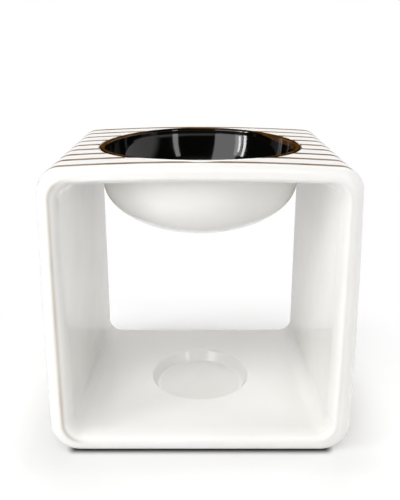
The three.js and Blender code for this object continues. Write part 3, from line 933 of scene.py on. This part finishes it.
# A painted shadow in the paper's colour right under the base.
clear_of_base = smooth_range(tree, beside_base, 0.0, BASE_SHADE)
colour = fade_between(tree, clear_of_base, PAINTED_BASE_SHADOW, colour)
set_inputs(tree, shader, {"Base Color": colour, "Roughness": 0.9, "Specular IOR Level": 0.1})
path = add_node(tree, "ShaderNodeLightPath").outputs
seen = calculate(tree, "MAXIMUM", path["Is Camera Ray"], path["Is Glossy Ray"], path["Is Transmission Ray"])
far = times(tree, smooth_range(tree, away, *WHITE_AWAY), seen)
even_white = add_node(tree, "ShaderNodeEmission", {"Color": BACKDROP, "Strength": 1.0})
lift = smooth_range(tree, away, *LIFT_AWAY, *PAPER_LIFT)
lift = times(tree, lift, clear_of_base, seen)
paper_lift = add_node(tree, "ShaderNodeEmission", {"Color": BACKDROP, "Strength": lift})
near_paper = add_node(tree, "ShaderNodeAddShader", {0: shader.outputs[0], 1: paper_lift.outputs[0]})
mixed = add_node(tree, "ShaderNodeMixShader", {0: far, 1: near_paper.outputs[0], 2: even_white.outputs[0]})
tree.links.new(mixed.outputs[0], tree.nodes["Material Output"].inputs["Surface"])
sweep_mesh.materials.append(paper)
print("paper:", len(tree.nodes), "nodes")

# %% [markdown]
# ## Light
# A small studio at a plain level, at which white glaze that faces the light comes out just under paper
# white. White glaze shows how much light falls on it, and black glaze shows only what it mirrors, so the
# two are served apart. Some soft boxes light the lamp and aren't mirrored: two keys at the left front,
# one from behind and a fill on the right. Others are only mirrored, as strips in the black glaze: a
# window in two panes with its frame, and a pale curtain beside it. A strip at the right front and a box
# high above the front do both. The room is dark in front and on the left, so that the black glaze stays
# black between the strips, and pale above, low down and on the right. To the camera it is white, as the
# backdrop is. A soft box is placed by the directions of its edges as the lamp sees them, and its
# brightness is counted in whites: 1 is as bright as white paper.

# %% The room
CEILING, RIGHT_WALL, LOW_WALL, DARK = 0.3, 1.0, 0.85, 0.012
RIGHT_SPAN, UP_SPAN, LOW_SPAN, LOW_LEFT_SPAN = (0.78, 0.9), (0.62, 0.8), (0.12, 0.06), (-0.6, -0.2)
ROOM_COLOUR = (1, 0.995, 0.985, 1)
world = bpy.data.worlds.new("studio")
bpy.context.scene.world = world
world.use_nodes = True
tree = world.node_tree
room = tree.nodes["Background"]
look = add_node(tree, "ShaderNodeTexCoord").outputs["Generated"]
toward = axes(tree, look)
walls = smooth_range(tree, toward["X"], *RIGHT_SPAN, DARK, RIGHT_WALL)
up = smooth_range(tree, toward["Z"], *UP_SPAN, 0.0, CEILING)
low = smooth_range(tree, toward["Z"], *LOW_SPAN, 0.0, LOW_WALL)
low = times(tree, low, smooth_range(tree, toward["X"], *LOW_LEFT_SPAN))
path = add_node(tree, "ShaderNodeLightPath").outputs
strength = calculate(tree, "MAXIMUM", walls, up, low, path["Is Camera Ray"], path["Is Transmission Ray"])
set_inputs(tree, room, {"Color": ROOM_COLOUR, "Strength": strength})
print("room:", len(tree.nodes), "nodes")

# %% Soft boxes
LIGHT_DISTANCE, LIGHT_LEVEL = 0.8, 0.12


def soft_box(name, left, right, low, high, brightness, lean=0, mirrored=True, lights=True):
    """An upright soft box. Its edges are in degrees: to the right of the front, and up from the lamp's top.
    A lean tips its upper end to the right. It may show in gloss (mirrored) and fall on the lamp (lights)."""
    turn = math.radians((left + right) / 2)
    bottom, top = (LIGHT_LEVEL + LIGHT_DISTANCE * math.tan(math.radians(edge)) for edge in (low, high))
    light = bpy.data.lights.new(name, "AREA")
    light.shape = "RECTANGLE"
    light.size = 2 * LIGHT_DISTANCE * math.tan(math.radians((right - left) / 2))
    light.size_y = top - bottom
    light.energy = brightness * math.pi * light.size * light.size_y
    box = add_object(name, light)
    box.location = (LIGHT_DISTANCE * math.sin(turn), -LIGHT_DISTANCE * math.cos(turn), (bottom + top) / 2)
    box.rotation_euler = (math.pi / 2, math.radians(lean), turn)
    box.visible_glossy, box.visible_diffuse, box.visible_camera = mirrored, lights, False
    print(f"{name}: {light.size:.2f} x {light.size_y:.2f} m, {light.energy:.1f} W")


soft_box("window_left", left=-66, right=-62.2, low=0, high=33, brightness=19, lean=-8, lights=False)
soft_box("window_right", left=-57.2, right=-54.6, low=3, high=28, brightness=15, lean=-8, lights=False)
soft_box("window_frame", left=-61, right=-50, low=0, high=34, brightness=3, lean=-8, lights=False)
soft_box("curtain", left=-58, right=-20, low=0, high=60, brightness=3, lights=False)
soft_box("left_key", left=-72, right=-50, low=0, high=40, brightness=5.9, mirrored=False)
soft_box("front_key", left=-42, right=-10, low=0, high=50, brightness=2.8, mirrored=False)
soft_box("right_strip", left=31, right=38, low=0, high=40, brightness=4.5, lean=3)
soft_box("front_top", left=-28, right=28, low=53, high=67, brightness=3.7)
soft_box("back_top", left=155, right=205, low=35, high=60, brightness=3.8, mirrored=False)
soft_box("right_fill", left=65, right=115, low=0, high=45, brightness=1.6, mirrored=False)

# %% [markdown]
# ## Camera
# The camera stands a little above the lamp, about a quarter of a metre in front of its middle, and looks
# down by 17 degrees. The picture is 400 by 500, and the sensor's size goes with its longer side. The
# lens is shifted a little, because its axis meets the picture above the middle.

# %% Camera
PICTURE_HEIGHT = 500
FOCAL_PIXELS = 635.34
AXIS_ROW = 230
CAMERA_PLACE, LOOK_DOWN = (-0.0001, -0.26974, 0.164525), 0.301
camera_data = bpy.data.cameras.new("camera")
camera_data.sensor_width = 36
camera_data.lens = FOCAL_PIXELS * camera_data.sensor_width / PICTURE_HEIGHT
camera_data.shift_y = (AXIS_ROW - PICTURE_HEIGHT / 2) / PICTURE_HEIGHT
camera_data.clip_start = 0.01
camera = add_object("camera", camera_data)
camera.location = CAMERA_PLACE
camera.rotation_euler = (math.pi / 2 - LOOK_DOWN, 0, 0)
bpy.context.scene.camera = camera
bpy.context.scene.view_settings.view_transform = "Standard"
print(f"lens {camera_data.lens:.2f} mm")
